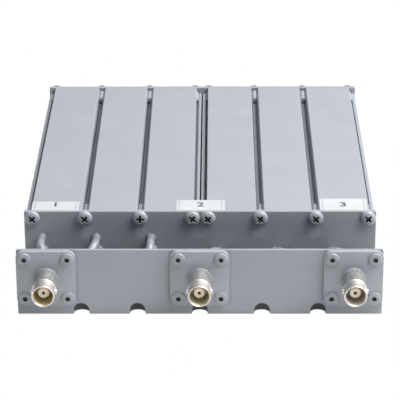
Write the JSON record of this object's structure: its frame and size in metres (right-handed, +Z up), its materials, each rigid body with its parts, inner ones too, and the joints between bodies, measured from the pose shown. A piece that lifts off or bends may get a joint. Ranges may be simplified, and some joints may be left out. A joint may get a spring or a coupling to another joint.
{
  "type": "cavity duplexer",
  "caption": "Flat radio duplexer: tuned cavities in aluminium extrusions between end plates, with coaxial jacks on a folded front panel.",
  "frame": {"origin": "under the middle of the part, on the plane that the lowest screw heads stand on", "axes": "+X to the right seen from the jacks, +Y from the jacks to the back, +Z up"},
  "size_m": [0.1566, 0.216, 0.0377],
  "materials": {
    "painted_aluminium": "semi-gloss grey spray paint",
    "painted_plate": "semi-gloss grey spray paint",
    "painted_bracket": "semi-gloss grey spray paint",
    "painted_steel": "grey paint over zinc plated steel",
    "painted_rivet": "grey paint over aluminium",
    "painted_coax": "grey paint over a tinned copper jacket",
    "nickel_plated_brass": "bright nickel plate, dulled",
    "white_fluoropolymer": "waxy white",
    "gold_plated_contact": "gold plate",
    "white_label_tape": "laminated label tape",
    "resonator_copper": "bright copper plate",
    "loop_copper": "bare copper wire",
    "tuner_brass": "bare brass",
    "bushing_brass": "bare brass",
    "nut_steel": "nickel plated steel"
  },
  "bodies": {
    "chassis": {"cavity_block_left": "painted_aluminium", "cavity_block_right": "painted_aluminium", "front_plate": "painted_plate", "rear_plate": "painted_plate", "connector_bracket": "painted_bracket", "front_top_screws": "painted_steel", "front_bottom_screws": "painted_steel", "rear_top_screws": "painted_steel", "rear_bottom_screws": "painted_steel", "bracket_screws": "painted_steel", "tuning_bushings": "bushing_brass", "lock_nuts": "nut_steel", "low_jack_shell": "nickel_plated_brass", "low_jack_insulator": "white_fluoropolymer", "low_jack_contact": "gold_plated_contact", "low_jack_rivets": "painted_rivet", "low_label": "white_label_tape", "antenna_jack_shell": "nickel_plated_brass", "antenna_jack_insulator": "white_fluoropolymer", "antenna_jack_contact": "gold_plated_contact", "antenna_jack_rivets": "painted_rivet", "antenna_label": "white_label_tape", "high_jack_shell": "nickel_plated_brass", "high_jack_insulator": "white_fluoropolymer", "high_jack_contact": "gold_plated_contact", "high_jack_rivets": "painted_rivet", "high_label": "white_label_tape", "jumper_low_to_1": "painted_coax", "jumper_1_to_2": "painted_coax", "jumper_2_to_3": "painted_coax", "jumper_3_to_antenna": "painted_coax", "jumper_antenna_to_4": "painted_coax", "jumper_4_to_5": "painted_coax", "jumper_5_to_6": "painted_coax", "jumper_6_to_high": "painted_coax", "resonator_1": "resonator_copper", "coupling_loop_1": "loop_copper", "resonator_2": "resonator_copper", "coupling_loop_2": "loop_copper", "resonator_3": "resonator_copper", "coupling_loop_3": "loop_copper", "resonator_4": "resonator_copper", "coupling_loop_4": "loop_copper", "resonator_5": "resonator_copper", "coupling_loop_5": "loop_copper", "resonator_6": "resonator_copper", "coupling_loop_6": "loop_copper"},
    "tuner_1": {"tuning_screw_1": "tuner_brass"},
    "tuner_2": {"tuning_screw_2": "tuner_brass"},
    "tuner_3": {"tuning_screw_3": "tuner_brass"},
    "tuner_4": {"tuning_screw_4": "tuner_brass"},
    "tuner_5": {"tuning_screw_5": "tuner_brass"},
    "tuner_6": {"tuning_screw_6": "tuner_brass"}
  },
  "joints": [
    {"name": "tuner_1_travel", "type": "slide", "parent": "chassis", "child": "tuner_1", "axis": [0, 1, 0], "range_m": [-0.006, 0.005]},
    {"name": "tuner_2_travel", "type": "slide", "parent": "chassis", "child": "tuner_2", "axis": [0, 1, 0], "range_m": [-0.006, 0.005]},
    {"name": "tuner_3_travel", "type": "slide", "parent": "chassis", "child": "tuner_3", "axis": [0, 1, 0], "range_m": [-0.006, 0.005]},
    {"name": "tuner_4_travel", "type": "slide", "parent": "chassis", "child": "tuner_4", "axis": [0, 1, 0], "range_m": [-0.006, 0.005]},
    {"name": "tuner_5_travel", "type": "slide", "parent": "chassis", "child": "tuner_5", "axis": [0, 1, 0], "range_m": [-0.006, 0.005]},
    {"name": "tuner_6_travel", "type": "slide", "parent": "chassis", "child": "tuner_6", "axis": [0, 1, 0], "range_m": [-0.006, 0.005]}
  ]
}
